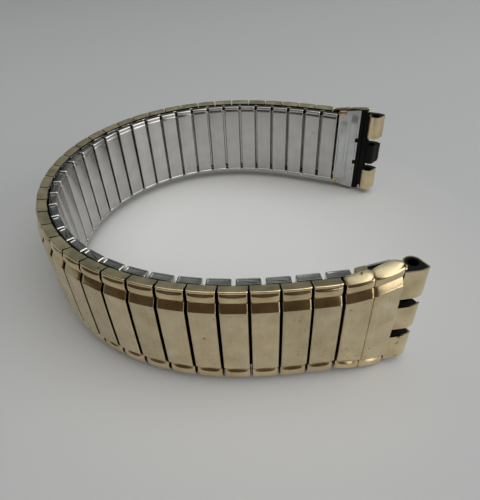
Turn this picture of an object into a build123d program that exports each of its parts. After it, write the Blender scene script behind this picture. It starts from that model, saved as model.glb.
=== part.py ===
from build123d import *
import os
from math import acos, atan2, cos, hypot, radians, sin, sqrt

os.makedirs("parts", exist_ok=True)

# Expansion watch band, standing on its edge and bent into an open C. Lengths are in millimetres and
# turns in degrees. In the frame of one link, X runs along the band, Y out of the wrist side towards
# the gold side, with 0 on the neutral line between the rows, and Z across the band from its lower edge.

# Plan of the band
band_width = 18.0  # length of an outer link, from one edge of the band to the other
pitch = 4.07  # from one outer link to the next on the neutral line
side_links = 17  # outer links on each side of the middle one
middle_turn = 7.3  # turn from link to link in the round of the C
end_turn = 0.5  # the same beside an end piece
round_links = 7.7  # links each side of the middle that keep the full turn

# Rows, measured from the neutral line
outer_foot = 0.4  # the outer row reaches this far inwards
row_gap = 0.25  # running gap between the rows
lip_height = 1.55  # rounded lip at the ends of a cover
crown_height = 2.05  # middle of a cover
inner_depth = 1.4  # thickness of the inner row

# Cover
cover_breadth = 3.82  # along the band
cover_wall = 0.3
cover_draft = 0.3  # lean of the end walls
lip_round = 0.35
groove_place = 0.85  # from the end, where the groove behind the lip lies
groove_height = 1.4
bead_start = 1.0
bead_end = 2.3
bead_foot = 1.5
bead_height = 1.68
field_start = 2.4
field_foot = 1.64
edge_round = 0.5  # long edges of the crowned field
side_foot = 0.15  # the side walls end this far inside the neutral line

# Sleeves, leaf springs and staples
sleeve_breadth = 3.36  # outer sleeve
inner_breadth = 3.45  # inner sleeve
sleeve_wall = 0.2
sleeve_top = 1.05  # outer sleeve's roof above the neutral line
sleeve_end = 0.6  # outer sleeve's end from the band's edge
inner_end = 0.45  # inner sleeve's end from the band's edge
sleeve_round = 0.25
inner_round = 0.35
spring_breadth = 2.6
spring_thickness = 0.12
spring_end = 0.35  # between a leaf spring's tip and the inside of its sleeve's end
wire_radius = 0.18
wire_seat = 0.1  # between a staple's leg and the sleeve's wall at the row gap
bend_radius = 0.3
bow_depth = 1.3  # bow of a staple from the band's edge
leg_length = 5.0
slot_margin = 0.27  # round a bow in the slot it passes through
stretch_lead = 0.94  # a stretching staple's leg reaches this far under its sleeve's middle

# End pieces
end_start = 0.25  # gap between the last cover and the end cover
first_bar = 3.8
second_bar = 4.2
end_flare = 1.4  # the end cover is this much wider at each edge where it meets the watch
start_flare = 0.05
end_drop = 0.8  # the second bar bends this far towards the wrist
bar_foot = 0.4  # the end walls reach this far inwards at the step between the bars
lobe_foot = 1.45  # and this far at the free end, before the lobe is rounded off
lobe_round = 1.4
lobe_low = 1.1  # lowest point of the lobe
bar_groove = 0.15
fit = 0.05  # clearance between pieces that are pressed or folded together
liner_start = 2.15  # liner from the middle of the last inner link
liner_length = 4.8
liner_face = 1.5
liner_thickness = 0.3
rib_breadth = 1.7
rib_height = 0.14
notch_length = 0.6
notch_breadth = 1.0
tab_breadth = 1.5
tab_reach = 1.6
knuckle_inset = 1.35  # spring bar's axis inside the neutral line
knuckle_outset = 1.9  # spring bar's axis beyond the end cover
knuckle_radius = 1.35  # round side of a knuckle, towards the wrist
knuckle_face = 1.9  # flat side of a knuckle from the spring bar's axis
knuckle_neck = 0.6  # wrist side of a knuckle's neck, from the same axis
knuckle_root = 1.0  # the neck reaches this far under the end cover
tip_reach = 1.95  # blunt tip of a knuckle towards the watch
tip_height = 1.25
tip_round = 0.35
knuckle_length = 5.0
middle_knuckle = 4.5
knuckle_wrap = 0.25
bar_bore = 0.8  # radius of the hole for the watch's spring bar
overrun = 1.0  # cuts pass this far through

half_pitch = pitch / 2
quarter_pitch = pitch / 4
inner_top = -outer_foot - row_gap
inner_face = inner_top - inner_depth
outer_leg = -outer_foot + sleeve_wall + wire_seat + wire_radius
inner_leg = inner_top - sleeve_wall - wire_seat - wire_radius
end_left = end_start - half_pitch
step_place = end_left + first_bar
end_right = step_place + second_bar
knuckle_place = end_right + knuckle_outset
bore_height = -knuckle_inset
last_link = 2 * side_links + 2


def turn(link):
    """Turn in degrees from outer link number link to the next one outwards, both counted from the middle."""
    share = max(0, (link + 1 / 2 - round_links) / (side_links + 1 / 2 - round_links))
    return middle_turn + (end_turn - middle_turn) * share**2


def heading(place):
    """Heading in degrees of a link. Even places are outer links and odd ones inner links, from the middle."""
    steps, odd = divmod(abs(place), 2)
    total = sum(turn(link) for link in range(steps)) + odd * turn(steps) / 2
    return total if place > 0 else -total


def ahead(angle, length):
    """Step of a length along a heading, in plan."""
    return Vector(sin(radians(angle)), cos(radians(angle))) * length


def centre(place):
    """Place of a link's middle in plan, before the band is set over the origin."""
    spot = Vector(0, 0)
    for link in range(abs(place)):
        spot += ahead(heading(link), quarter_pitch) + ahead(heading(link + 1), quarter_pitch)
    return spot if place > 0 else Vector(spot.X, -spot.Y)


def outward(angle, length):
    """Step of a length square to a heading, away from the wrist."""
    return ahead(angle - 90, length)


# The knuckles' tips reach furthest towards +X and the middle cover's crown furthest towards -X.
tip_spot = centre(last_link) + ahead(heading(last_link), knuckle_place + tip_reach)
tip_spot += outward(heading(last_link), bore_height + tip_height)
plan_middle = (tip_spot.X - crown_height) / 2


def standing(spot, angle, height=end_flare):
    """Location of a frame that stands on the lower edge of the links, X along the heading."""
    origin = (spot.X - plan_middle, spot.Y, height)
    return Plane(origin=origin, x_dir=ahead(angle, 1), z_dir=(0, 0, 1)).location


def link_location(place):
    return standing(centre(place), heading(place))


def joint_angle(place):
    return (heading(place) + heading(place + 1)) / 2


def joint_location(place):
    """Frame between link place and the next one, where a staple joins them."""
    return standing(centre(place) + ahead(heading(place), quarter_pitch), joint_angle(place))


def end_location(side):
    """Frame of an end piece, X towards the watch: side 1 is the back end and -1 the front end."""
    spot, angle = centre(side * last_link), heading(side * last_link)
    origin = (spot.X - plan_middle, spot.Y, end_flare + (band_width if side < 0 else 0))
    return Plane(origin=origin, x_dir=ahead(angle, side), z_dir=(0, 0, side)).location


def cover_section(plane, spread, drop, foot):
    """Section of a cover across the band: end walls, lips, grooves, beads and the crowned field."""

    def at(height, depth, end):
        across = depth - spread if end == 0 else band_width + spread - depth
        return (height - drop, across)

    with BuildSketch(plane) as section:
        with BuildLine():
            for end in (0, 1):
                side = lip_height - lip_round
                bend = lip_round * (1 - cos(radians(45)))
                Line(at(foot + drop, cover_draft, end), at(side, 0, end))
                ThreePointArc(
                    at(side, 0, end), at(lip_height - bend, bend, end), at(lip_height, lip_round, end)
                )
                Line(at(lip_height, lip_round, end), at(groove_height, groove_place, end))
                Line(at(groove_height, groove_place, end), at(bead_foot, bead_start, end))
                middle = (bead_start + bead_end) / 2
                ThreePointArc(
                    at(bead_foot, bead_start, end), at(bead_height, middle, end), at(bead_foot, bead_end, end)
                )
                Line(at(bead_foot, bead_end, end), at(field_foot, field_start, end))
            ThreePointArc(
                at(field_foot, field_start, 0),
                (crown_height - drop, band_width / 2),
                at(field_foot, field_start, 1),
            )
            Line(at(foot + drop, cover_draft, 0), at(foot + drop, cover_draft, 1))
        make_face()
    return section.sketch


def block(low, high, mode=Mode.ADD):
    """Box between two corners."""
    size = [b - a for a, b in zip(low, high)]
    middle = [(a + b) / 2 for a, b in zip(low, high)]
    with Locations(Location(tuple(middle))):
        return Box(*size, mode=mode)


# Cover of an outer link: a drawn cap with end walls that hides the sleeve
cap_inside = cover_wall + cover_draft - fit
with BuildPart() as cover:
    plane = Plane.YZ.offset(-cover_breadth / 2)
    extrude(cover_section(plane, 0, 0, -outer_foot), amount=cover_breadth, dir=(1, 0, 0))
    with BuildSketch() as breadth:
        with BuildLine():
            half = cover_breadth / 2
            Polyline((-half, crown_height - edge_round), (-half, -outer_foot), (half, -outer_foot))
            Line((half, -outer_foot), (half, crown_height - edge_round))
            bend = edge_round * (1 - cos(radians(45)))
            for side in (-1, 1):
                ThreePointArc(
                    (side * half, crown_height - edge_round),
                    (side * (half - bend), crown_height - bend),
                    (side * (half - edge_round), crown_height),
                )
            Line((-half + edge_round, crown_height), (half - edge_round, crown_height))
        make_face()
    extrude(amount=band_width, mode=Mode.INTERSECT)
    side_inside = sleeve_breadth / 2 + fit
    block(
        (-side_inside, -outer_foot - overrun, cap_inside),
        (side_inside, sleeve_top + fit, band_width - cap_inside),
        mode=Mode.SUBTRACT,
    )
    block(
        (-cover_breadth, -outer_foot - overrun, cap_inside),
        (cover_breadth, -side_foot, band_width - cap_inside),
        mode=Mode.SUBTRACT,
    )


def cut_slots(low, high, breadth):
    """Slots at both ends of a sleeve, across it at the row gap, for the bows of the staples."""
    reach = wire_radius + slot_margin
    for place in (bow_depth, band_width - bow_depth):
        block((-breadth, low, place - reach), (breadth, high, place + reach), mode=Mode.SUBTRACT)


# Sleeve of an outer link
with BuildPart() as outer_sleeve:
    half = sleeve_breadth / 2
    block((-half, -outer_foot, sleeve_end), (half, sleeve_top, band_width - sleeve_end))
    fillet(outer_sleeve.edges().filter_by(Axis.Z), radius=sleeve_round)
    block(
        (sleeve_wall - half, sleeve_wall - outer_foot, sleeve_end + sleeve_wall),
        (half - sleeve_wall, sleeve_top - sleeve_wall, band_width - sleeve_end - sleeve_wall),
        mode=Mode.SUBTRACT,
    )
    cut_slots(-outer_foot - overrun, outer_leg + wire_radius, sleeve_breadth)

# Sleeve of an inner link, rounded where it lies on the wrist
with BuildPart() as inner_sleeve:
    half = inner_breadth / 2
    block((-half, inner_face, inner_end), (half, inner_top, band_width - inner_end))
    fillet(inner_sleeve.faces().sort_by(Axis.Y)[0].edges(), radius=inner_round)
    block(
        (sleeve_wall - half, inner_face + sleeve_wall, inner_end + sleeve_wall),
        (half - sleeve_wall, inner_top - sleeve_wall, band_width - inner_end - sleeve_wall),
        mode=Mode.SUBTRACT,
    )
    cut_slots(inner_top - sleeve_wall, inner_top + overrun, inner_breadth)


def leaf_section(low, high, end):
    """Section of a waved leaf spring that presses on the legs at low and on the wall at high."""
    quarter = (band_width - 2 * end) / 4
    ends = [end, end + quarter * 3 / 2, band_width - end - quarter * 3 / 2, band_width - end]
    middle_height = (low + high) / 2
    lift = spring_thickness if high > low else -spring_thickness
    with BuildSketch(Plane.YZ.offset(-spring_breadth / 2)) as section:
        with BuildLine():
            for rise in (0, lift):
                for start, stop, crest in zip(ends, ends[1:], (low, high - lift, low)):
                    ThreePointArc(
                        (middle_height + rise, start),
                        (crest + rise, (start + stop) / 2),
                        (middle_height + rise, stop),
                    )
            for tip in (ends[0], ends[-1]):
                Line((middle_height, tip), (middle_height + lift, tip))
        make_face()
    return section.sketch


# Leaf springs: one rides on the legs in an outer sleeve, the other in an inner one
leg_clear = wire_radius + wire_seat
with BuildPart() as outer_leaf:
    low, high = outer_leg + leg_clear, sleeve_top - sleeve_wall - fit
    section = leaf_section(low, high, sleeve_end + sleeve_wall + spring_end)
    extrude(section, amount=spring_breadth, dir=(1, 0, 0))

with BuildPart() as inner_leaf:
    low, high = inner_leg - leg_clear, inner_face + sleeve_wall + fit
    section = leaf_section(low, high, inner_end + sleeve_wall + spring_end)
    extrude(section, amount=spring_breadth, dir=(1, 0, 0))


def bend_staple(lead):
    """U of wire at the upper edge, its leg in the outer sleeve set ahead by lead along the band."""
    bow, tip = band_width - bow_depth, band_width - bow_depth - leg_length
    corners = [(lead, outer_leg, tip), (lead, outer_leg, bow), (0, inner_leg, bow), (0, inner_leg, tip)]
    with BuildPart() as staple:
        with BuildLine() as path:
            FilletPolyline(*corners, radius=bend_radius)
        with BuildSketch(Plane(origin=path.line @ 0, z_dir=path.line % 0)):
            Circle(wire_radius)
        sweep()
        mirror(about=Plane.XY.offset(band_width / 2))
    return staple.part


straight_staples = bend_staple(0)
leading_staples = {side: bend_staple(side * stretch_lead) for side in (-1, 1)}


def staples_round(place):
    """Staples of a group of three links, round the outer link at place, with their frames."""
    pairs = [(joint_location(place - 1), straight_staples), (joint_location(place), straight_staples)]
    for side in (-1, 1):
        spot = place - 2 if side < 0 else place + 1
        stretches = place == 0 or side * place > 0
        pairs.append((joint_location(spot), leading_staples[side] if stretches else straight_staples))
    return pairs


# End cover: a drawn shell of two bars that widens and bends towards the watch
flare_rate = (end_flare - start_flare) / (end_right - end_left)


def flare(place):
    """How far the end cover has widened at each edge."""
    return start_flare + flare_rate * (place - end_left)


def fall(place):
    """How far the end cover has bent towards the wrist."""
    return end_drop * max(0, place - step_place) / second_bar


def strip(left, right, low, high, end):
    """Corners of a strip along one edge of the end cover, between two depths from its widest line."""
    spots = [(left, low), (right, low), (right, high), (left, high)]
    spots = [(x, depth - flare(x)) for x, depth in spots]
    return [(x, z if end == 0 else band_width - z) for x, z in spots]


with BuildPart() as end_cavity:
    for place in (end_left + cover_wall, step_place, end_right + overrun):
        with BuildSketch(Plane.YZ.offset(place)):
            edge = cap_inside - flare(place)
            with BuildLine():
                Polyline(
                    (-lobe_foot - overrun, edge),
                    (lip_height - cover_wall - fall(place), edge),
                    (lip_height - cover_wall - fall(place), band_width - edge),
                    (-lobe_foot - overrun, band_width - edge),
                    close=True,
                )
            make_face()
    loft(ruled=True)

end_feet = {end_left: -outer_foot + cover_draft / 2, step_place: -bar_foot, end_right: -lobe_foot}
with BuildPart() as end_cover:
    loft(
        [
            cover_section(Plane.YZ.offset(place), flare(place), fall(place), foot)
            for place, foot in end_feet.items()
        ],
        ruled=True,
    )
    with BuildSketch(Plane.XY.offset(-end_flare)):
        with BuildLine():
            nose = (end_right, lobe_round - lobe_low)
            tail = (end_right - lobe_round, -lobe_low)
            bend = lobe_round * (1 - cos(radians(45)))
            top = crown_height + overrun
            Polyline(nose, (end_right, top), (end_left, top), (end_left, -lobe_foot), tail)
            ThreePointArc(tail, (end_right - bend, bend - lobe_low), nose)
        make_face()
    extrude(amount=band_width + 2 * end_flare, mode=Mode.INTERSECT)
    add(end_cavity.part, mode=Mode.SUBTRACT)
    groove_low = lip_height - bar_groove
    block(
        (step_place - bar_groove / 2, groove_low, -end_flare - overrun),
        (step_place + bar_groove / 2, crown_height + overrun, band_width + end_flare + overrun),
        mode=Mode.SUBTRACT,
    )
    tab_left = liner_start - half_pitch
    tab_right = tab_left + tab_breadth
    for end in (0, 1):
        with BuildSketch(Plane.XZ):
            with BuildLine():
                Polyline(*strip(tab_left, tab_right, cover_draft, cap_inside, end), close=True)
            make_face()
        extrude(amount=liner_face + fit, dir=(0, -1, 0))
        with BuildSketch(Plane.XZ.offset(liner_face + fit)):
            with BuildLine():
                Polyline(*strip(tab_left, tab_right, cover_draft, tab_reach, end), close=True)
            make_face()
        extrude(amount=cover_wall / 2, dir=(0, -1, 0))

# Liner of an end piece: a steel plate with two ribs, notched beside the middle knuckle
liner_left = tab_left
liner_right = liner_left + liner_length
middle = band_width / 2
with BuildPart() as end_liner:
    with BuildSketch(Plane.XZ.offset(liner_face - liner_thickness)):
        with BuildLine():
            shoulder = tab_right + 2 * fit
            tucked = cover_draft + cover_wall + fit
            edge = [
                (liner_left, tucked - flare(tab_left)),
                (shoulder, tucked - flare(tab_left)),
                (shoulder, cover_draft - flare(shoulder)),
                (liner_right, cover_draft - flare(liner_right)),
            ]
            Polyline(*edge, *[(x, band_width - z) for x, z in reversed(edge)], close=True)
        make_face()
    extrude(amount=liner_thickness)
    rib_ends = tab_reach
    for share in (1 / 4, 3 / 4):
        rib = liner_left + liner_length * share
        block(
            (rib - rib_breadth / 2, -liner_face - rib_height, rib_ends),
            (rib + rib_breadth / 2, -liner_face, band_width - rib_ends),
        )
    for side in (-1, 1):
        notch = middle + side * (middle_knuckle + notch_breadth) / 2
        block(
            (liner_right - notch_length, -liner_face - overrun, notch - notch_breadth / 2),
            (liner_right + overrun, overrun - liner_face, notch + notch_breadth / 2),
            mode=Mode.SUBTRACT,
        )


def knuckle_section(plane, inset):
    """Section of a knuckle, drawn in by an inset: flat outside, blunt at the tip and round on the wrist side."""
    root = end_right - knuckle_root - knuckle_place
    turned = atan2(tip_height, tip_reach) - acos(knuckle_radius / hypot(tip_reach, tip_height))
    touch = (knuckle_radius * cos(turned), knuckle_radius * sin(turned))
    neck = (-sqrt(knuckle_radius**2 - knuckle_neck**2), knuckle_neck)
    with BuildSketch(plane) as section:
        with BuildLine():
            Polyline(neck, (root, knuckle_neck), (root, knuckle_face), (0, knuckle_face))
            TangentArc((0, knuckle_face), (tip_reach, tip_height), tangent=(1, 0))
            Line((tip_reach, tip_height), touch)
            ThreePointArc(touch, (0, -knuckle_radius), neck)
        make_face()
        fillet(section.vertices().sort_by(Axis.X)[-1], radius=tip_round)
        offset(amount=-inset, mode=Mode.REPLACE)
    return section.sketch


# Core of an end piece: a black insert under the cover with three barrels for the spring bar
core_left = liner_left + fit
bar_plane = Plane((knuckle_place, bore_height, 0))
knuckles = (
    (0, knuckle_length),
    (middle - middle_knuckle / 2, middle + middle_knuckle / 2),
    (band_width - knuckle_length, band_width),
)
with BuildPart() as end_core:
    for place in (core_left, step_place, end_right):
        with BuildSketch(Plane.YZ.offset(place)):
            edge = cap_inside + fit - flare(place)
            roof = lip_height - cover_wall - fit - fall(place)
            seat = liner_thickness + fit - liner_face
            with BuildLine():
                Polyline(
                    (seat, edge),
                    (roof, edge),
                    (roof, band_width - edge),
                    (seat, band_width - edge),
                    close=True,
                )
            make_face()
    loft(ruled=True)
    for low, high in knuckles:
        section = knuckle_section(bar_plane.offset(low), knuckle_wrap + fit)
        extrude(section, amount=high - low, dir=(0, 0, 1))
    with BuildSketch(bar_plane):
        Circle(bar_bore)
    extrude(amount=band_width, mode=Mode.SUBTRACT)


def wrap_knuckle(low, high, whole):
    """Sleeve round one barrel: a whole wrap, or over the outer face and the tip alone."""
    with BuildPart() as wrap:
        plane = bar_plane.offset(low)
        extrude(knuckle_section(plane, 0), amount=high - low, dir=(0, 0, 1))
        section = knuckle_section(plane, knuckle_wrap)
        extrude(section, amount=high - low, dir=(0, 0, 1), mode=Mode.SUBTRACT)
        block(
            (end_left, bore_height - 2 * knuckle_face, low),
            (end_right + fit, crown_height + overrun, high),
            mode=Mode.SUBTRACT,
        )
        if not whole:
            block(
                (end_left, bore_height - 2 * knuckle_face, low),
                (knuckle_place + 2 * tip_reach, bore_height + tip_height - tip_round, high),
                mode=Mode.SUBTRACT,
            )
    return wrap.part


knuckle_wraps = [wrap_knuckle(low, high, low != knuckles[1][0]) for low, high in knuckles]

# Outer links, each a cover pressed over a sleeve with a leaf spring inside
for number in range(1, 2 * side_links + 2):
    with BuildPart() as outer_link:
        with Locations(link_location(2 * (number - side_links - 1))):
            add(cover.part)
            add(outer_sleeve.part)
            add(outer_leaf.part)
    outer_link.part.label = f"outer_link_{number:02d}"
    export_step(outer_link.part, f"parts/{outer_link.part.label}.step")

# Inner links in pairs, with the staples that hold them to the outer links round them
for number in range(2, 2 * side_links + 2, 2):
    place = 2 * (number - side_links - 1)
    with BuildPart() as inner_links:
        with Locations(link_location(place - 1), link_location(place + 1)):
            add(inner_sleeve.part)
            add(inner_leaf.part)
        for location, staple in staples_round(place):
            with Locations(location):
                add(staple)
    inner_links.part.label = f"inner_links_{number:02d}_{number + 1:02d}"
    export_step(inner_links.part, f"parts/{inner_links.part.label}.step")

# The two ends, each with the inner link that lies half under it
for side, name, number in ((-1, "front", 1), (1, "back", 2 * side_links + 2)):
    with BuildPart() as inner_link:
        with Locations(link_location(side * (last_link - 1))):
            add(inner_sleeve.part)
            add(inner_leaf.part)
        for place in (last_link - 1, last_link - 2):
            with Locations(joint_location(place if side > 0 else -place - 1)):
                add(straight_staples)
    inner_link.part.label = f"inner_link_{number:02d}"
    export_step(inner_link.part, f"parts/{inner_link.part.label}.step")
    with BuildPart() as cover_piece:
        with Locations(end_location(side)):
            add(end_cover.part)
            for wrap in knuckle_wraps:
                add(wrap)
    cover_piece.part.label = f"{name}_end_cover"
    export_step(cover_piece.part, f"parts/{cover_piece.part.label}.step")
    with BuildPart() as liner_piece:
        with Locations(end_location(side)):
            add(end_liner.part)
    liner_piece.part.label = f"{name}_end_liner"
    export_step(liner_piece.part, f"parts/{liner_piece.part.label}.step")
    with BuildPart() as core_piece:
        with Locations(end_location(side)):
            add(end_core.part)
    core_piece.part.label = f"{name}_end_core"
    export_step(core_piece.part, f"parts/{core_piece.part.label}.step")
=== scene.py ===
import math

import bmesh
import bpy
from mathutils import Euler, Matrix, Vector


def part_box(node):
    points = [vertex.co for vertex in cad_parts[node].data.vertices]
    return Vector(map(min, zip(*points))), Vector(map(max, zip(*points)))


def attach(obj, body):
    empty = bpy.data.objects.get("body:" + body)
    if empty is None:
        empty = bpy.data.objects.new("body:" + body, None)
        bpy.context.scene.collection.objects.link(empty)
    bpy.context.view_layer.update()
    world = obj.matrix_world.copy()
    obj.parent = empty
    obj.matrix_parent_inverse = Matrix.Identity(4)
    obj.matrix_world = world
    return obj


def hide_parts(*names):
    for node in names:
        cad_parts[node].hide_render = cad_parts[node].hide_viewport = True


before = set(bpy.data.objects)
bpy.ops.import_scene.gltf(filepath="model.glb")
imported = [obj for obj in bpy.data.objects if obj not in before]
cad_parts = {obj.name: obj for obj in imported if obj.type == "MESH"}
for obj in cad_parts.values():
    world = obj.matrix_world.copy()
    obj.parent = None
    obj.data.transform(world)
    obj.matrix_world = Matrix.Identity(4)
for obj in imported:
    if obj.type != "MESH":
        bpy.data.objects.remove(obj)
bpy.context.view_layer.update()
mm = 0.001

# Camera
# A lens held by hand in front of the band, a little towards its open side, and looking down at it. Its
# place, its turns and its focal length in pixels were fitted to the gaps between the links.
camera_spot = Vector((15.631, -71.623, 58.241)) * mm
camera_heading = math.radians(9.788)
camera_pitch = math.radians(39.089)
camera_roll = math.radians(2.765)
focal_pixels = 435.18
picture_pixels = 500
sensor_size = 36
camera_data = bpy.data.cameras.new("camera")
camera_data.sensor_width = sensor_size
camera_data.lens = focal_pixels / picture_pixels * sensor_size
camera_data.clip_start = mm
camera = bpy.data.objects.new("camera", camera_data)
bpy.context.scene.collection.objects.link(camera)
level = Euler((math.pi / 2 - camera_pitch, 0, camera_heading), "XYZ").to_matrix()
tilt = level @ Matrix.Rotation(-camera_roll, 3, "Z")
camera.matrix_world = Matrix.Translation(camera_spot) @ tilt.to_4x4()
bpy.context.scene.camera = camera

# Gold-filled covers
# Thirty-five caps drawn from gold-filled sheet, each pressed over the steel sleeve of an outer link. Each
# end is a wall with a rolled lip. Then come a groove, a polished bead, a facet and the brushed field.
# Sizes are in millimetres and turns in degrees.
band_width = 18.0
half_width = band_width / 2
pitch = 4.07
side_links = 17
middle_turn = 7.3
end_turn = 0.5
round_links = 7.7
end_flare = 1.4
last_link = 2 * side_links + 2
crown_height = 2.05
plan_middle = -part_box("outer_link_18")[0][0] / mm - crown_height


def turn(link):
    """Turn in degrees from one outer link to the next, counted outwards from the middle one."""
    share = max(0, (link + 0.5 - round_links) / (side_links + 0.5 - round_links))
    return middle_turn + (end_turn - middle_turn) * share**2


def heading(place):
    """Heading of a link in degrees. Even places are outer links and odd ones inner links."""
    steps, odd = divmod(abs(place), 2)
    total = sum(turn(link) for link in range(steps)) + odd * turn(steps) / 2
    return total if place > 0 else -total


def ahead(angle, length):
    """Step along a heading, in plan."""
    return Vector((math.sin(math.radians(angle)), math.cos(math.radians(angle)), 0)) * length


def centre(place):
    """Middle of a link in plan, before the band is set over the origin."""
    spot = Vector()
    for link in range(abs(place)):
        spot += ahead(heading(link), pitch / 4) + ahead(heading(link + 1), pitch / 4)
    return spot if place > 0 else Vector((spot.x, -spot.y, 0))


def standing(spot, along, up, height):
    """Matrix that sets a mesh in millimetres at a spot, its X along the plan and its Z up or down."""
    upward = Vector((0, 0, up))
    turned = Matrix((along, upward.cross(along), upward)).transposed().to_4x4()
    place = Matrix.Translation((spot + Vector((-plan_middle, 0, height))) * mm)
    return place @ turned @ Matrix.Scale(mm, 4)


def link_frame(place):
    """Frame of a link, its X along the band and its Z up from the lower edge."""
    return standing(centre(place), ahead(heading(place), 1), 1, end_flare)


def joint_frame(place):
    """Frame of the joint between a link and the next one."""
    spot = centre(place) + ahead(heading(place), pitch / 4)
    return standing(spot, ahead((heading(place) + heading(place + 1)) / 2, 1), 1, end_flare)


def end_frame(side):
    """Frame of an end piece with X towards the watch: side 1 is the back end and -1 the front end."""
    height = end_flare + (band_width if side < 0 else 0)
    return standing(centre(side * last_link), ahead(heading(side * last_link), side), side, height)


def arc(pivot, radius, start, stop, steps):
    """Points on an arc in a plane, between angles in degrees."""
    angles = [math.radians(start + (stop - start) * step / steps) for step in range(steps + 1)]
    return [(pivot[0] + radius * math.cos(a), pivot[1] + radius * math.sin(a)) for a in angles]


def bulge(start, stop, rise, steps):
    """Points from start to stop along a shallow arch over the line between them."""
    points = []
    for step in range(steps + 1):
        share = step / steps
        lift = rise * 4 * share * (1 - share)
        along = start[0] + (stop[0] - start[0]) * share
        points.append((along, start[1] + (stop[1] - start[1]) * share + lift))
    return points


# The finishes, in the order of the golds below
brushed = 0
polished = 1
grimed = 2
# The last one is painted shade, for the gaps between the covers
shaded = 3

cover_foot = -0.4
cover_half = 1.925
cover_wall = 0.26
side_foot = -0.15
edge_round = 0.26
edge_flats = 8

# Places on the skin: depth from the band's edge, height over the neutral line, and crown across the cover
end_wall = ((0.3, cover_foot, 0.0), (0.24, -0.1, 0.0), (0.1, 0.7, 0.05))
lip_radius = 0.16
lip_middle = (lip_radius, 1.12)
lip_crown = 0.1
lip_steps = 6
groove_to_bead = ((0.33, 1.29, 0.1), (0.38, 1.31, 0.11), (0.54, 1.44, 0.16), (0.64, 1.52, 0.2))
bead_start = (0.72, 1.555)
bead_stop = (1.4, 1.61)
bead_rise = 0.03
bead_crown = 0.22
bead_to_facet = ((1.5, 1.61, 0.22), (1.6, 1.58, 0.2), (1.68, 1.53, 0.17))
facet_start = 1.98
facet_foot = 1.31
facet_end = 3.2
facet_top = 1.92
facet_rise = 0.01
facet_crown = 0.06
facet_edge = ((facet_end - 0.04, 1.955, 0.05),)
field_height = 1.965
field_rise = 0.075
field_crown = 0.05
field_steps = 10


def half_profile():
    """Skin of a cover from the foot of its end wall to its middle: depth, height, crown and finish."""
    points = [(*point, grimed) for point in end_wall]
    lip = arc(lip_middle, lip_radius, 180, 70, lip_steps)
    points += [(z, y, lip_crown, polished) for z, y in lip]
    return points + bead_and_field()


def bead_and_field():
    """The skin from the bead to the middle: the bead's slopes, the facet and the brushed field."""
    bead = bulge(bead_start, bead_stop, bead_rise, 3)
    facet = bulge((facet_start, facet_foot), (facet_end - 0.1, facet_top), facet_rise, 5)
    points = [(*point, polished) for point in groove_to_bead]
    points += [(z, y, bead_crown, polished) for z, y in bead]
    points += [(*point, polished) for point in bead_to_facet]
    points += [(z, y, facet_crown, polished) for z, y in facet]
    points += [(*point, polished) for point in facet_edge]
    for step in range(field_steps + 1):
        share = step / field_steps
        z = facet_end + (half_width - facet_end) * share
        points.append((z, field_height + field_rise * (1 - (1 - share) ** 2), field_crown, brushed))
    return points


def mirrored(half):
    """The skin from the foot of the lower end wall over the middle to the foot of the upper one."""
    far = [(band_width - z, y, crown) for z, y, crown, _ in half]
    finishes = [half[0][3]] + [finish for _, _, _, finish in half]
    return half[:-1] + [(*point, finish) for point, finish in list(zip(far, finishes))[::-1]]


def breadth_stops(half, rounding, flats):
    """Places across a bar with how far its long edges have dropped there."""
    steps = [math.radians(15 * step) for step in range(7)]
    edge = [(half - rounding + rounding * math.sin(a), rounding * (1 - math.cos(a))) for a in steps]
    flat = [(half - rounding) * (2 * (step + 1) / flats - 1) for step in range(flats - 1)]
    return [(-x, drop) for x, drop in reversed(edge)] + [(x, 0) for x in flat] + edge


def sheet(bm, rows, outward, finishes=(), closed=False, leave_out=()):
    """Skins a grid of points, with one finish for each strip: the grid and its faces, turned outward."""
    grid = [[bm.verts.new(point) for point in row] for row in rows]
    made = []
    for index, (low, high) in enumerate(zip(grid, grid[1:])):
        for here in range(len(low) - (0 if closed else 1)):
            if (index, here) in leave_out:
                continue
            there = (here + 1) % len(low)
            face = bm.faces.new((low[here], low[there], high[there], high[here]))
            face.material_index = finishes[index] if finishes else 0
            made.append(face)
    bm.normal_update()
    facing = [outward(face.calc_center_median()).dot(face.normal) * face.calc_area() for face in made]
    if sum(facing) < 0:
        bmesh.ops.reverse_faces(bm, faces=made)
    bm.normal_update()
    return grid, made


def thicken(bm, faces, depth, inside=None):
    """Gives a skin its thickness inwards and closes its rims, with a finish of their own if one is given."""
    verts = list({v for face in faces for v in face.verts})
    bm.normal_update()
    inner = {v: bm.verts.new(v.co - v.normal * depth) for v in verts}
    rims = [loop for face in faces for loop in face.loops if loop.edge.is_boundary]
    for face in faces:
        copy = bm.faces.new([inner[v] for v in reversed(face.verts)])
        copy.material_index = inside if inside is not None else face.material_index
    for loop in rims:
        a, b = loop.vert, loop.link_loop_next.vert
        rim = bm.faces.new((b, a, inner[a], inner[b]))
        rim.material_index = inside if inside is not None else loop.face.material_index


def finished(name, bm, angle=30):
    """Mesh in millimetres, smooth but for its sharp edges."""
    bmesh.ops.delete(bm, geom=[v for v in bm.verts if not v.link_faces])
    mesh = bpy.data.meshes.new(name)
    bm.to_mesh(mesh)
    bm.free()
    mesh.shade_smooth()
    mesh.set_sharp_from_angle(angle=math.radians(angle))
    return mesh


def assemble(name, placed, materials, body):
    """One piece made of meshes in millimetres, each set in its own frame."""
    bm = bmesh.new()
    for mesh, matrix in placed:
        start = len(bm.verts)
        bm.from_mesh(mesh)
        bm.verts.ensure_lookup_table()
        bmesh.ops.transform(bm, matrix=matrix, verts=bm.verts[start:])
    mesh = bpy.data.meshes.new(name)
    bm.to_mesh(mesh)
    bm.free()
    for material in materials:
        mesh.materials.append(material)
    piece = bpy.data.objects.new(name, mesh)
    bpy.context.scene.collection.objects.link(piece)
    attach(piece, body)
    return piece


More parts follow.
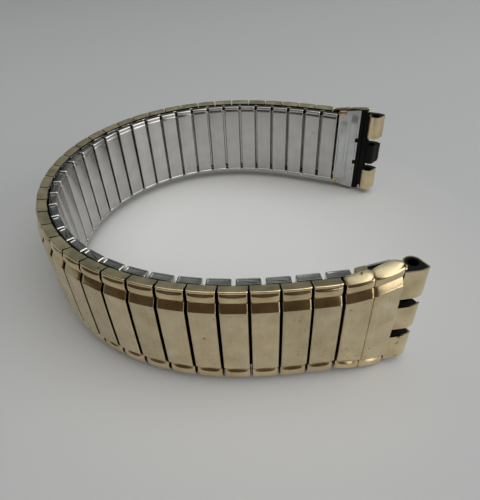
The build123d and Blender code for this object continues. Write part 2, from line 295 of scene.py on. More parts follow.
def linear(text):
    """Colour of an sRGB hex value, turned linear, with alpha."""
    parts = [int(text[i : i + 2], 16) / 255 for i in (0, 2, 4)]
    return [c / 12.92 if c <= 0.04045 else ((c + 0.055) / 1.055) ** 2.4 for c in parts] + [1]


def add_node(tree, kind, values=(), links=(), stops=()):
    """Adds a shader node with its settings, its links and, for a ramp, its stops of place and hex colour."""
    made = tree.nodes.new(kind)
    for key, value in dict(values).items():
        if isinstance(key, str) and hasattr(made, key):
            setattr(made, key, value)
        else:
            made.inputs[key].default_value = value
    for key, socket in dict(links).items():
        tree.links.new(socket, made.inputs[key])
    if stops:
        elements = made.color_ramp.elements
        while len(elements) < len(stops):
            elements.new(0.5)
        for element, (place, colour) in zip(elements, stops):
            element.position = place
            element.color = linear(colour)
    return made


# Marks on the metal, in millimetres: a fraction is one over the marks in a millimetre. The real brushing is
# too fine to show, so its lines are drawn coarser.
brush_breadth = 1 / 6.5
brush_length = 1 / 0.26
brush_depth = 0.03
streak_breadth = 1 / 2.2
streak_length = 1 / 0.07
cloud_size = 1 / 0.38
speck_size = 1 / 1.1


def worn_metal(name, tones, rough, stain, brushing=0.12):
    """Metal drawn or brushed across the band, with a patchy tone, small stains and a shade of its own."""
    material = bpy.data.materials.new(name)
    material.use_nodes = True
    tree = material.node_tree
    tree.nodes.clear()
    place = add_node(tree, "ShaderNodeTexCoord").outputs["Object"]
    brush_scale = (1 / (brush_breadth * mm), 1 / (brush_breadth * mm), 1 / (brush_length * mm))
    stretched = add_node(tree, "ShaderNodeMapping", {"Scale": brush_scale}, {"Vector": place}).outputs[0]
    lines = add_node(tree, "ShaderNodeTexNoise", {"Scale": 1.0, "Detail": 4.0}, {"Vector": stretched})
    cloud = add_node(tree, "ShaderNodeTexNoise", {"Scale": 1 / (cloud_size * mm), "Detail": 5.0},
                     {"Vector": place}).outputs["Fac"]
    speck = add_node(tree, "ShaderNodeTexNoise", {"Scale": 1 / (speck_size * mm), "Detail": 3.0},
                     {"Vector": place}).outputs["Fac"]
    tone = add_node(tree, "ShaderNodeValToRGB", (), {"Fac": cloud},
                    ((0.32, tones[0]), (0.52, tones[1]), (0.72, tones[2]))).outputs["Color"]
    streak_scale = (1 / (streak_breadth * mm), 1 / (streak_breadth * mm), 1 / (streak_length * mm))
    drawn = add_node(tree, "ShaderNodeMapping", {"Scale": streak_scale}, {"Vector": place}).outputs[0]
    streak = add_node(tree, "ShaderNodeTexNoise", {"Scale": 1.0, "Detail": 3.0}, {"Vector": drawn})
    specks = add_node(tree, "ShaderNodeValToRGB", (), {"Fac": speck},
                      ((0.0, "FFFFFF"), (0.68, "FFFFFF"), (0.78, stain))).outputs["Color"]
    stained = add_node(tree, "ShaderNodeMix", {"data_type": "RGBA", "blend_type": "MULTIPLY", 0: 1.0},
                       {6: tone, 7: specks}).outputs[2]
    own = add_node(tree, "ShaderNodeObjectInfo").outputs["Random"]
    varied = add_node(tree, "ShaderNodeMath", {"operation": "MULTIPLY_ADD", 1: 1.1},
                      {0: streak.outputs["Fac"], 2: own}).outputs[0]
    shade = add_node(tree, "ShaderNodeMapRange",
                     {"From Min": 0.3, "From Max": 1.8, "To Min": 0.86, "To Max": 1.08},
                     {"Value": varied}).outputs[0]
    colour = add_node(tree, "ShaderNodeHueSaturation", (), {"Value": shade, "Color": stained}).outputs[0]
    satin = add_node(tree, "ShaderNodeMapRange",
                     {"From Min": 0.3, "From Max": 0.7, "To Min": rough * 0.8, "To Max": rough * 1.25},
                     {"Value": cloud}).outputs[0]
    bump = add_node(tree, "ShaderNodeBump", {"Strength": brushing, "Distance": brush_depth * mm},
                    {"Height": lines.outputs["Fac"]}).outputs[0]
    metal = add_node(tree, "ShaderNodeBsdfPrincipled", {"Metallic": 1.0},
                     {"Base Color": colour, "Roughness": satin, "Normal": bump})
    add_node(tree, "ShaderNodeOutputMaterial", links={"Surface": metal.outputs[0]})
    return material


# How the skin's long edges and side walls are shaped. A side wall's foot falls from side_top at the edge of
# the band, by side_slope, down to side_foot.
edge_blend_start = 0.5
edge_blend_height = 0.6
lip_edge = 0.35
long_edge = 0.9
side_top = 1.25
side_slope = 5
side_lap = 0.02
# Side walls that face across the band more than this take the painted shade of the gaps
side_facing = 0.85


def cover_mesh():
    """One cap: its skin with end and side walls, and the thickness of the sheet inwards."""
    bm = bmesh.new()
    profile = mirrored(half_profile())
    rows = []
    for z, y, crown, _ in profile:
        inwards = min(z, band_width - z)
        wall = max(0, min(1, (y - cover_foot - edge_blend_start) / edge_blend_height))
        rounding = lip_edge if inwards < end_wall[0][0] else long_edge
        row = [(x, y - (crown * (x / cover_half) ** 2 + drop * rounding) * wall, z)
               for x, drop in breadth_stops(cover_half, edge_round, edge_flats)]
        foot = min(row[0][1] - side_lap, max(side_foot, side_top - side_slope * inwards))
        rows.append([(-cover_half, foot, z), *row, (cover_half, foot, z)])
    core = Vector((0, 0, half_width))
    strips = len(rows) - 1
    wall_strips = len(end_wall) + lip_steps
    end_walls = [*range(wall_strips), *range(strips - wall_strips, strips)]
    open_sides = {(index, side) for index in end_walls for side in (0, len(rows[0]) - 2)}
    finishes = [finish for _, _, _, finish in profile]
    _, faces = sheet(bm, rows, lambda spot: spot - core, finishes, leave_out=open_sides)
    # Side walls, and below also the inner skin and the rims, take the dark gold: painted shade in the gaps
    for face in faces:
        if abs(face.normal.x) > side_facing:
            face.material_index = shaded
    thicken(bm, faces, cover_wall, shaded)
    for vert in bm.verts:
        vert.co.x = max(-cover_half, min(cover_half, vert.co.x))
    return finished("cover", bm)


# Gold-filled brass, brushed across the band: the brushing draws the room's reflection out to a soft sheen.
brushed_gold = worn_metal("gold_filled_brushed", ("C6B592", "D2C2A0", "DDCFB1"), 0.3, "A39472")
# The same sheet, buffed on the lip, the bead and the facet: it mirrors the dark and bright of the room.
polished_gold = worn_metal("gold_filled_polished", ("C8B48C", "D8C69E", "E2D3AF"), 0.17, "A08F6C", 0.04)
# The same sheet on the end walls, rubbed and soiled by wear: a greyer satin.
grimed_gold = worn_metal("gold_filled_grimed", ("B0A484", "C2B694", "D0C4A2"), 0.36, "6C6449", 0.05)
# The same sheet inside and on the side walls, darkened nearly to black: painted shade in the gaps between the
# covers.
gold_painted_gap_shade = worn_metal("gold_painted_shade", ("120F0B", "19150F", "241E16"), 0.6, "0C0A07", 0.05)
golds = (brushed_gold, polished_gold, grimed_gold, gold_painted_gap_shade)
cover = cover_mesh()
outer_bodies = {}
for number in range(1, 2 * side_links + 2):
    place = 2 * (number - side_links - 1)
    outer_bodies[number] = f"trio_{number:02d}" if number % 2 == 0 else f"outer_{number:02d}"
    placed = [(cover, link_frame(place))]
    piece = assemble(f"cover_{number:02d}", placed, golds, outer_bodies[number])
    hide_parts(f"outer_link_{number:02d}")

# Sleeves of the outer links
# A flat box folded from stainless strip under each cover, open in slots at the row gap for the staples,
# with a waved leaf spring inside that presses the staples' legs flat.
sleeve_wall = 0.2
bow_depth = 1.3
slot_reach = 0.45
outer_breadth = 3.36
outer_sleeve_top = 1.05
outer_rounds = (0.25, 0.25)
outer_slot_level = 0.26
outer_sleeve_end = 0.6
outer_leaf_low = 0.36
outer_leaf_high = 0.8
outer_leaf_end = 1.15
leaf_breadth = 2.6
leaf_thickness = 0.12
leaf_waves = 2
leaf_steps = 36

# Depth and inset of the rings of a sleeve's dished end wall, and of the crease pressed across its slot
dished = ((0.12, 0.4), (0.11, 0.34), (0.02, 0.28), (0, 0.22),
          (0.02, 0.14), (0.06, 0.07), (0.13, 0.02), (0.22, 0))
crease = ((1.08, 0), (1.16, 0.08), (1.22, 0.08), (1.36, 0))

# The finishes, in the order of the steels below
bright = 0
# The second one is painted shade, for the gap between the rows
row_gap_shade = 1
dull = 2

# The faces that get them: how deep the painted shade on the side at the row gap goes and how far it faces the
# gap, and how far the dull ends face along the sleeve
gap_depth = 0.3
gap_facing = 0.3
end_facing = 0.9


def sleeve_outline(half, low, high, rounds, level, inset):
    """Outline of a sleeve's section, drawn in by an inset, with a point at the slots' level on both sides."""
    low_round, high_round = (max(radius - inset, 0.02) for radius in rounds)
    half, low, high = half - inset, low + inset, high - inset
    points = arc((half - low_round, low + low_round), low_round, -90, 0, 4) + [(half, level)]
    points += arc((half - high_round, high - high_round), high_round, 0, 90, 4)
    points += arc((high_round - half, high - high_round), high_round, 90, 180, 4) + [(-half, level)]
    return points + arc((low_round - half, low + low_round), low_round, 180, 270, 4)


def sleeve_mesh(name, half, low, high, rounds, level, slots_high, end):
    """A folded sleeve with dished end walls and slots for the staples on its side at the row gap."""
    bm = bmesh.new()
    rings = [(end + depth, inset) for depth, inset in dished]
    rings += [(bow_depth - slot_reach, 0), *crease, (bow_depth + slot_reach, 0), (band_width * 0.3, 0)]
    rings += [(band_width - z, inset) for z, inset in rings[::-1]]
    rows = []
    for z, inset in rings:
        rows.append([(x, y, z) for x, y in sleeve_outline(half, low, high, rounds, level, inset)])
    slots = set()
    for index, ((z, _), (z_next, _)) in enumerate(zip(rings, rings[1:])):
        halfway = (z + z_next) / 2
        if min(abs(halfway - bow_depth), abs(band_width - halfway - bow_depth)) < slot_reach:
            for here, (_, y, _) in enumerate(rows[index]):
                both = (y, rows[index][(here + 1) % len(rows[index])][1])
                if (min(both) >= level) if slots_high else (max(both) <= level):
                    slots.add((index, here))
    heart = (low + high) / 2
    grid, faces = sheet(bm, rows, lambda spot: Vector((spot.x, spot.y - heart, 0)),
                        closed=True, leave_out=slots)
    faces += [bm.faces.new(grid[0][::-1]), bm.faces.new(grid[-1])]
    bmesh.ops.recalc_face_normals(bm, faces=faces)
    for face in faces:
        # Faces at the row gap that face the outer row take the dark steel: painted shade between the rows
        top = max(v.co.y for v in face.verts)
        gap_side = slots_high and top > high - gap_depth and abs(face.normal.y) > gap_facing
        face.material_index = row_gap_shade if gap_side else dull if abs(face.normal.z) > end_facing else bright
    thicken(bm, faces, sleeve_wall)
    return finished(name, bm)


def leaf_mesh(name, low, high, end):
    """A waved leaf spring that presses on the legs at low and on the sleeve's wall at high."""
    bm = bmesh.new()
    rows = []
    lift = leaf_thickness if high > low else -leaf_thickness
    for step in range(leaf_steps + 1):
        share = step / leaf_steps
        wave = (1 + math.cos(math.radians(360 * leaf_waves * share + 180))) / 2
        z = end + (band_width - 2 * end) * share
        y = low + (high - lift - low) * wave
        rows.append([(x * leaf_breadth / 2, y, z) for x in (-1, -0.5, 0, 0.5, 1)])
    _, faces = sheet(bm, rows, lambda spot: Vector((0, -lift, 0)))
    thicken(bm, faces, leaf_thickness)
    return finished(name, bm)


# Stainless strip, rolled and tumbled: a soft, pale mirror.
steel = worn_metal("stainless_satin", ("B6B4B1", "BDBBB8", "C4C2BF"), 0.2, "A5A39E", 0.06)
# The same strip and wire at the row gap, darkened to a dark brown with hardly a reflection: painted shade
# between the rows.
steel_painted_shade = worn_metal("stainless_painted_shade", ("2E2A24", "3A352D", "4A443A"), 0.6, "1E1B17", 0.05)
# The folded ends of the strip, matt from the press: a flat grey.
dull_steel = worn_metal("stainless_dull", ("7E8280", "8B8F8D", "989B98"), 0.38, "6A6B66", 0.05)
steels = (steel, steel_painted_shade, dull_steel)
outer_sleeve = sleeve_mesh("outer_sleeve", outer_breadth / 2, cover_foot, outer_sleeve_top, outer_rounds,
                           outer_slot_level, False, outer_sleeve_end)
outer_leaf = leaf_mesh("outer_leaf", outer_leaf_low, outer_leaf_high, outer_leaf_end)
for number, body in outer_bodies.items():
    matrix = link_frame(2 * (number - side_links - 1))
    assemble(f"sleeve_{number:02d}", [(outer_sleeve, matrix), (outer_leaf, matrix)], steels, body)

# Inner links
# The row on the wrist: box sleeves of the same strip, rounded where they touch the skin, each with its leaf
# spring, and the U staples of round wire that join them to the outer row at both edges.
inner_top = -0.65
inner_face = -2.05
outer_leg = 0.08
inner_leg = -1.13
leg_length = 5
wire_radius = 0.18
bend_radius = 0.3
stretch_lead = 0.94
inner_breadth = 3.45
inner_rounds = (0.3, 0.12)
inner_slot_level = -0.85
inner_sleeve_end = 0.45
inner_leaf_low = -1.41
inner_leaf_high = -1.8
inner_leaf_end = 1.0
inner_sleeve = sleeve_mesh("inner_sleeve", inner_breadth / 2, inner_face, inner_top, inner_rounds,
                           inner_slot_level, True, inner_sleeve_end)
inner_leaf = leaf_mesh("inner_leaf", inner_leaf_low, inner_leaf_high, inner_leaf_end)


def rounded(corners, radius, steps=5):
    """Path through corners in which each inner corner is an arc."""
    corners = [Vector(corner) for corner in corners]
    path = [corners[0]]
    for before, corner, after in zip(corners, corners[1:], corners[2:]):
        back = (before - corner).normalized()
        onward = (after - corner).normalized()
        half = back.angle(onward) / 2
        pivot = corner + (back + onward).normalized() * radius / math.sin(half)
        start = (corner + back * radius / math.tan(half) - pivot).normalized()
        stop = (corner + onward * radius / math.tan(half) - pivot).normalized()
        path += [pivot + start.slerp(stop, step / steps) * radius for step in range(steps + 1)]
    return path + [corners[-1]]


def wire(bm, path, radius, sides=8):
    """Round wire along a path, closed at both tips."""
    rows = []
    side = Vector((1, 0, 0))
    for index, spot in enumerate(path):
        along = (path[min(index + 1, len(path) - 1)] - path[max(index - 1, 0)]).normalized()
        side = (side - along * side.dot(along)).normalized()
        other = along.cross(side)
        angles = [math.tau * step / sides for step in range(sides)]
        rows.append([spot + (side * math.cos(a) + other * math.sin(a)) * radius for a in angles])
    centre_line = sum(path, Vector()) / len(path)
    grid, faces = sheet(bm, rows, lambda spot: spot - centre_line, closed=True)
    faces += [bm.faces.new(grid[0][::-1]), bm.faces.new(grid[-1])]
    bmesh.ops.recalc_face_normals(bm, faces=faces)


def staple_mesh(lead):
    """The pair of staples of one joint, their legs in the outer sleeve set ahead by a lead."""
    bm = bmesh.new()
    for end in (0, 1):
        tip = bow_depth + leg_length
        corners = [(lead, outer_leg, tip), (lead, outer_leg, bow_depth)]
        corners += [(0, inner_leg, bow_depth), (0, inner_leg, tip)]
        if end:
            corners = [(x, y, band_width - z) for x, y, z in corners]
        wire(bm, rounded(corners, bend_radius), wire_radius)
    # The wire is dark all over: painted shade of the row gap that it lies in
    for face in bm.faces:
        face.material_index = row_gap_shade
    return finished("staples", bm)


straight_staples = staple_mesh(0)
leading_staples = {side: staple_mesh(side * stretch_lead) for side in (-1, 1)}
for number in range(2, 2 * side_links + 2, 2):
    place = 2 * (number - side_links - 1)
    placed = [(mesh, link_frame(place + side)) for side in (-1, 1) for mesh in (inner_sleeve, inner_leaf)]
    placed += [(straight_staples, joint_frame(place - 1)), (straight_staples, joint_frame(place))]
    for side in (-1, 1):
        stretches = place == 0 or side * place > 0
        staples = leading_staples[side] if stretches else straight_staples
        placed.append((staples, joint_frame(place - 2 if side < 0 else place + 1)))
    name = f"inner_links_{number:02d}_{number + 1:02d}"
    piece = assemble(f"pair_{number:02d}_{number + 1:02d}", placed, steels, f"trio_{number:02d}")
    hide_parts(name)

for side, name, number in ((-1, "front", 1), (1, "back", last_link)):
    matrix = link_frame(side * (last_link - 1))
    placed = [(inner_sleeve, matrix), (inner_leaf, matrix)]
    for place in (last_link - 1, last_link - 2):
        placed.append((straight_staples, joint_frame(place if side > 0 else -place - 1)))
    piece = assemble(f"{name}_single_link", placed, steels, f"{name}_end")
    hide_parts(f"inner_link_{number:02d}")

# End covers
# A gold-filled shell of two crowned bars that widens and bends towards the watch, rounded off at its lobes,
# with two tabs folded over the liner and gold wraps round the knuckles that hold the watch's spring bar.
end_start = 0.25
first_bar = 3.8
second_bar = 4.2
end_left = end_start - pitch / 2
step_place = end_left + first_bar
end_right = step_place + second_bar
start_flare = 0.05
end_drop = 0.8
lobe_round = 1.4
lobe_low = 1.1
foot_left = -0.25
foot_fall = 0.15
foot_step = -0.4
lobe_fall = 1.05
end_edge_round = 0.3
end_edge_flats = 12

# Rings of a domed end wall: depth from the edge, and share of the wall's height. Its sides are drawn in.
dome = ((0.02, 0.0), (0.03, 0.2), (0.08, 0.4), (0.17, 0.58),
        (0.28, 0.74), (0.38, 0.86), (0.47, 0.94), (0.54, 1.0))
dome_crown = 0.36
dome_lip = 1.29
dome_side = 0.3

# Sizes of the tabs, which start where the liner does
liner_start = 2.15
tab_left = liner_start - pitch / 2
tab_breadth = 1.5
tab_right = tab_left + tab_breadth
tab_wall = 0.12
tab_start = 0.3
tab_reach = 1.6
tab_corner = 0.25
tab_bend = 0.15
liner_face = 1.5
tab_depth = -liner_face - 0.1

# Knuckles: the lower, the middle and the upper one, and whether each wraps all the way round
knuckle_outset = 1.9
knuckle_place = end_right + knuckle_outset
bore_height = -1.35
knuckle_length = 5.0
middle_knuckle = 4.5
knuckle_wrap = 0.22
knuckle_face = 1.9
knuckle_radius = 1.35
knuckle_neck = 0.6
knuckle_tip = (1.95, 1.25)
nose_round = 0.32
rim = 0.04
knuckles = ((0, knuckle_length, True),
            (half_width - middle_knuckle / 2, half_width + middle_knuckle / 2, False),
            (band_width - knuckle_length, band_width, True))


def flare(place):
    """How far the end cover has widened at each edge."""
    return start_flare + (end_flare - start_flare) * (place - end_left) / (end_right - end_left)


def fall(place):
    """How far the end cover has bent towards the wrist."""
    return end_drop * max(0, place - step_place) / (end_right - step_place)


def wall_foot(place):
    """Foot of the end walls, which run out in a rounded lobe at the watch side."""
    if place < step_place:
        return foot_left - foot_fall * (place - end_left) / (step_place - end_left)
    straight = foot_step - lobe_fall * (place - step_place) / (end_right - step_place)
    beyond = place - (end_right - lobe_round)
    lobe = lobe_round - lobe_low - math.sqrt(max(0, lobe_round**2 - beyond**2)) if beyond > 0 else -lobe_low
    return max(straight, lobe)


def spread_out(z, spread):
    """Place across the band of a profile point once the cover has widened by a spread at each edge."""
    if z <= facet_end:
        return z - spread
    if z >= band_width - facet_end:
        return z + spread
    return half_width + (z - half_width) * (half_width + spread - facet_end) / (half_width - facet_end)


def end_shell(bm):
    """Skin of the two bars with their domed end walls and the wall beside the last link."""
    columns = []
    for low, high in ((end_left, step_place), (step_place, end_right)):
        half = (high - low) / 2
        for x, drop in breadth_stops(half, end_edge_round, end_edge_flats):
            columns.append(((low + high) / 2 + x, drop, (x / half) ** 2))
    wall = [(z, share, dome_crown, grimed) for z, share in dome]
    profile = mirrored(wall + bead_and_field()[1:])
    rows = []
    for index, (z, y, crown, _) in enumerate(profile):
        walls = min(index, len(profile) - 1 - index) < len(dome)
        row = []
        for x, drop, side_share in columns:
            foot = wall_foot(x)
            if walls:
                lip = dome_lip - fall(x) - crown * side_share - drop * long_edge
                height = foot + (max(lip, foot + 0.05) - foot) * y
                inwards = dome_side * side_share**2 * (1 if z < half_width else -1)
            else:
                height = max(y - fall(x) - crown * side_share - drop * long_edge, foot)
                inwards = 0
            row.append((x, height, spread_out(z, flare(x)) + inwards))
        x, y, across = row[0]
        rows.append([(x, min(y, foot_left), across), *row])
    heart = Vector(((end_left + end_right) / 2, -1, half_width))
    _, faces = sheet(bm, rows, lambda spot: spot - heart, [finish for _, _, _, finish in profile])
    thicken(bm, faces, cover_wall)


def tabs(bm):
    """Tabs of the end cover, bent in over the liner's corners."""
    bend = []
    for a in (math.radians(angle) for angle in (0, 30, 60, 90)):
        bend.append((tab_depth + tab_bend - tab_bend * math.sin(a), tab_bend - tab_bend * math.cos(a)))
    for end in (0, 1):
        rows = []
        for share in (0, 0.1, 0.25, 0.5, 0.75, 0.9, 1):
            x = tab_left + (tab_right - tab_left) * share
            wall = tab_start - flare(x)
            tip = tab_reach - flare(x) - tab_corner * (2 * share - 1) ** 4
            spots = [(0.0, wall)] + [(y, wall + z) for y, z in bend]
            spots += [(tab_depth, tip * 0.5 + 0.1), (tab_depth, tip)]
            rows.append([(x, y, z if end == 0 else band_width - z) for y, z in spots])
        heart = Vector((tab_left, 0, half_width))
        _, faces = sheet(bm, rows, lambda spot: spot - heart, [polished] * 6)
        thicken(bm, faces, tab_wall)


def knuckle_path(whole):
    """Outer face of a knuckle from its neck at the cover over the tip, and all round where it is whole."""
    tip_x, tip_y = knuckle_tip
    radius = knuckle_radius
    bow = (tip_x**2 + (knuckle_face - tip_y) ** 2) / (2 * (knuckle_face - tip_y))
    reach = math.degrees(math.asin(tip_x / bow))
    over = arc((0, knuckle_face - bow), bow, 90, 90 - reach, 10)
    turned = math.atan2(tip_y, tip_x) - math.acos(radius / math.hypot(tip_x, tip_y))
    touch = (radius * math.cos(turned), radius * math.sin(turned))
    root = end_right + 0.03 - knuckle_place
    corners = [(*over[-3], 0), (*knuckle_tip, 0), (*touch, 0)]
    nose = [(point.x, point.y) for point in rounded(corners, nose_round, 5)[1:-1]]
    path = [(root, knuckle_face), (root / 2, knuckle_face)] + over[:-3] + nose
    if whole:
        stop = math.degrees(math.atan2(knuckle_neck, -math.sqrt(radius**2 - knuckle_neck**2))) - 360
        path += [((tip_x + touch[0]) / 2, (tip_y + touch[1]) / 2)]
        path += arc((0, 0), radius, math.degrees(turned), stop, 22)
    return [(knuckle_place + x, bore_height + y) for x, y in path]


def end_cover_mesh():
    """The shell of two bars with its tabs and the gold wraps of its knuckles."""
    bm = bmesh.new()
    end_shell(bm)
    tabs(bm)
    for low, high, whole in knuckles:
        path = knuckle_path(whole)
        stops = (low, low + rim, (low + high) / 2, high - rim, high)
        rows = [[(x, y, z) for x, y in path] for z in stops]
        _, faces = sheet(bm, rows, lambda spot: Vector((spot.x - knuckle_place, spot.y - bore_height, 0)),
                         [polished] * 4)
        thicken(bm, faces, knuckle_wrap)
    return finished("end_cover", bm)


end_cover = end_cover_mesh()
for side, name in ((-1, "front"), (1, "back")):
    piece = assemble(f"{name}_cover", [(end_cover, end_frame(side))], golds, f"{name}_end")
    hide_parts(f"{name}_end_cover")

# Liners
# A stainless plate inside each end, pressed with two long ribs, held by the cover's tabs and notched beside
# the middle knuckle.
liner_left = tab_left
liner_length = 4.8
liner_right = liner_left + liner_length
liner_thickness = 0.3
tucked_edge = 0.65
open_edge = 0.32
notch_length = 0.6
notch_breadth = 1
rib_breadth = 1.7
rib_height = 0.16
rib_ramp = 2.5
# The strips of the plate's grid, counted across it, that the notches cut away
notch_strips = (11, 13)
# Places across a rib, as shares of half its breadth
rib_edge_shares = (-1, -0.95, -0.88, -0.75, 0, 0.75, 0.88, 0.95, 1)
# Each rib's middle, and how far from the plate's edge it starts to rise
ribs = ((liner_left + 1.2, 1.7), (liner_left + 3.6, 0.1))


def liner_mesh():
    """The plate with its ribs, tucked in under the tabs and notched at the watch side."""
    bm = bmesh.new()
    notch_places = []
    for side in (-1, 1):
        notch_places += [half_width + side * (middle_knuckle / 2 + reach) for reach in (0, notch_breadth)]
    tucked = tucked_edge - flare(tab_left)
    shoulder = tab_right + 0.1
    spots = [liner_left, shoulder - 0.01, shoulder, liner_right - notch_length, liner_right]
    for rib, _ in ribs:
        spots += [rib + rib_breadth / 2 * share for share in rib_edge_shares]
    spots = sorted(spots)
    rows = []
    for x in spots:
        edge = tucked if x < shoulder else open_edge - flare(x)
        lower = [edge, edge + 0.15, 0.35, 0.6, 0.9, 1.2, 1.5, 1.8, 2.1, 2.4, 2.8]
        across = lower + sorted(notch_places) + [band_width - z for z in lower[::-1]]
        rib, start = min(ribs, key=lambda item: abs(x - item[0]))
        row = []
        for z in across:
            depth = min(1, max(0, (min(z, band_width - z) - start) / rib_ramp))
            up = max(0, 1 - (abs(x - rib) / (rib_breadth / 2)) ** 8) * depth**2 * (3 - 2 * depth)
            row.append((x, -liner_face - rib_height * up, z))
        rows.append(row)
    notched = {index for index, x in enumerate(spots[:-1]) if x >= liner_right - notch_length}
    notches = {(index, strip) for index in notched for strip in notch_strips}
    _, faces = sheet(bm, rows, lambda spot: Vector((0, -1, 0)), leave_out=notches)
    thicken(bm, faces, liner_thickness)
    return finished("liner", bm)


# Stainless sheet, rolled bright and worn by the wrist: a soft mirror like the sleeves, cooler and paler.
liner_steel = worn_metal("stainless_polished", ("B4B6B5", "C2C4C2", "D0D1CF"), 0.2, "8E8C86", 0.05)
liner = liner_mesh()
for side, name in ((-1, "front"), (1, "back")):
    piece = assemble(f"{name}_liner", [(liner, end_frame(side))], [liner_steel], f"{name}_end")
    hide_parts(f"{name}_end_liner")

# Cores
# A block moulded from black nylon fills each end and carries the three knuckles' barrels. The CAD solid
# has the right shape, so it shows, with a moulded surface and, between its necks, a web of its own.
grain_size = 1 / 2.6
grain_depth = 0.03
dust_size = 2

# Black nylon, injection moulded: dull and nearly without a reflection, with paler patches of dust. The
# mould's grain is too fine to show, so it is drawn coarser.
nylon = bpy.data.materials.new("black_nylon")
nylon.use_nodes = True
tree = nylon.node_tree
tree.nodes.clear()
place = add_node(tree, "ShaderNodeTexCoord").outputs["Object"]
grain = add_node(tree, "ShaderNodeTexNoise", {"Scale": 1 / (grain_size * mm), "Detail": 3.0},
                 {"Vector": place})
dust = add_node(tree, "ShaderNodeTexNoise", {"Scale": 1 / (dust_size * mm), "Detail": 4.0},
                {"Vector": place})
shade = add_node(tree, "ShaderNodeValToRGB", (), {"Fac": dust.outputs["Fac"]},
                 ((0.35, "050506"), (0.6, "0A0A0B"), (0.78, "171613"))).outputs["Color"]
bump = add_node(tree, "ShaderNodeBump", {"Strength": 0.2, "Distance": grain_depth * mm},
                {"Height": grain.outputs["Fac"]}).outputs[0]
moulded = add_node(tree, "ShaderNodeBsdfPrincipled", {"Roughness": 0.5, "Specular IOR Level": 0.15},
                   {"Base Color": shade, "Normal": bump})
add_node(tree, "ShaderNodeOutputMaterial", links={"Surface": moulded.outputs[0]})
for name in ("front_end_core", "back_end_core"):
    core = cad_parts[name]
    core.data.materials.clear()
    core.data.materials.append(nylon)


# Section of the web, from the end cover's free end
web_outline = ((-0.6, 0.3), (0.3, 0.2), (0.8, -0.05), (1.1, -0.45),
               (1.1, -1.1), (0.85, -1.45), (-0.2, -1.45), (-0.6, -0.95))
web_edge = 0.32


def web_mesh():
    """Web of the core between the necks of its barrels, with its outer edge rounded."""
    bm = bmesh.new()
    outline = [(end_right + x, y) for x, y in web_outline]
    lower = (web_edge, web_edge + rim)
    stops = (*lower, half_width, band_width - lower[1], band_width - lower[0])
    rows = [[(x, y, z) for x, y in outline] for z in stops]
    grid, faces = sheet(bm, rows, lambda spot: Vector((spot.x - end_right, spot.y + 0.3, 0)), closed=True)
    faces += [bm.faces.new(grid[0][::-1]), bm.faces.new(grid[-1])]
    bmesh.ops.recalc_face_normals(bm, faces=faces)
    return finished("web", bm)


web = web_mesh()
for side, name in ((-1, "front"), (1, "back")):
    assemble(f"{name}_core_web", [(web, end_frame(side))], [nylon], f"{name}_end")

# Table
# A board painted pale grey, on which the band stands on its edge. It ends about 10 cm in front of the band,
# out of the picture, and the band's lower parts reflect the dark room beyond it. Sizes are in metres.
table_far = 1.5
table_near = 0.13
# How far the painted pool of light on the table reaches from the middle of the band, in metres
light_pool_reach = 0.06
corners = [(-table_far, -table_near, 0), (table_far, -table_near, 0)]
corners += [(table_far, table_far, 0), (-table_far, table_far, 0)]
floor_mesh = bpy.data.meshes.new("floor")
floor_mesh.from_pydata(corners, [], [(0, 1, 2, 3)])
floor = bpy.data.objects.new("floor", floor_mesh)
bpy.context.scene.collection.objects.link(floor)

# Matt emulsion paint, rolled on: hardly a reflection. Its colour falls softly from pale by the band to grey:
# a painted pool of light where the daylight falls.
paint = bpy.data.materials.new("table_with_painted_light_pool")
paint.use_nodes = True
tree = paint.node_tree
tree.nodes.clear()
place = add_node(tree, "ShaderNodeTexCoord").outputs["Object"]
away = add_node(tree, "ShaderNodeVectorMath", {"operation": "LENGTH"}, {0: place}).outputs["Value"]
light_pool_fall = add_node(tree, "ShaderNodeMapRange", {"From Max": light_pool_reach}, {"Value": away}).outputs[0]
colour = add_node(tree, "ShaderNodeValToRGB", (), {"Fac": light_pool_fall},
                  ((0.0, "CDCFD0"), (0.3, "CACCCD"), (0.75, "B8BABB"), (1.0, "B0B3B5"))).outputs["Color"]
matt = add_node(tree, "ShaderNodeBsdfPrincipled", {"Roughness": 0.6}, {"Base Color": colour})
add_node(tree, "ShaderNodeOutputMaterial", links={"Surface": matt.outputs[0]})
floor_mesh.materials.append(paint)

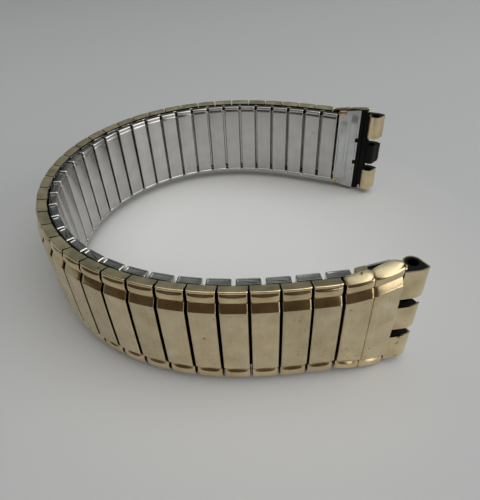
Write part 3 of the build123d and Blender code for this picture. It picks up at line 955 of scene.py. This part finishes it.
# Room and window
# A dim, brown room on the camera's side and a grey wall behind, under a bright ceiling, with soft daylight
# from high on the right.
world = bpy.data.worlds.new("room")
bpy.context.scene.world = world
world.use_nodes = True
tree = world.node_tree
tree.nodes.clear()
direction = add_node(tree, "ShaderNodeTexCoord").outputs["Generated"]
split = add_node(tree, "ShaderNodeSeparateXYZ", links={"Vector": direction})
height = add_node(tree, "ShaderNodeMapRange", {"From Min": -1.0}, {"Value": split.outputs["Z"]}).outputs[0]
near_tones = ((0.0, "4E4236"), (0.5, "4A3D31"), (0.84, "5A4C40"), (0.95, "8C8072"), (1.0, "C0BDB8"))
far_tones = ((0.0, "707274"), (0.5, "74787A"), (0.82, "7C8180"), (0.95, "A4A8AA"), (1.0, "C0C2C4"))
near_room = add_node(tree, "ShaderNodeValToRGB", (), {"Fac": height}, near_tones).outputs["Color"]
far_room = add_node(tree, "ShaderNodeValToRGB", (), {"Fac": height}, far_tones).outputs["Color"]
behind = add_node(tree, "ShaderNodeMapRange", {"From Min": -0.3, "From Max": 0.3},
                  {"Value": split.outputs["Y"]}).outputs[0]
room = add_node(tree, "ShaderNodeMix", {"data_type": "RGBA"},
                {0: behind, 6: near_room, 7: far_room}).outputs[2]
rightward = add_node(tree, "ShaderNodeMapRange", {"From Min": 0.8, "From Max": 0.95},
                     {"Value": split.outputs["X"]}).outputs[0]
window_glow = (1.7, 1.66, 1.58, 1)
lit = add_node(tree, "ShaderNodeMix", {"data_type": "RGBA", 7: window_glow},
               {0: rightward, 6: room}).outputs[2]
backdrop = add_node(tree, "ShaderNodeBackground", {"Strength": 1.0}, {"Color": lit})
add_node(tree, "ShaderNodeOutputWorld", links={"Surface": backdrop.outputs[0]})

# Each lamp's name, place in metres, breadth in metres and power in watts
lamps = (("window", (0.76, -0.22, 0.62), 1.25, 8.2), ("ceiling", (0.03, -0.1, 0.55), 0.8, 1.5))
daylight = (1.0, 0.99, 0.97)
for name, spot, breadth, power in lamps:
    lamp_data = bpy.data.lights.new(name, "AREA")
    lamp_data.size = breadth
    lamp_data.energy = power
    lamp_data.color = daylight
    lamp = bpy.data.objects.new(name, lamp_data)
    bpy.context.scene.collection.objects.link(lamp)
    lamp.location = spot
    lamp.rotation_euler = (-lamp.location).to_track_quat("-Z", "Y").to_euler()
bpy.context.scene.view_settings.view_transform = "Standard"
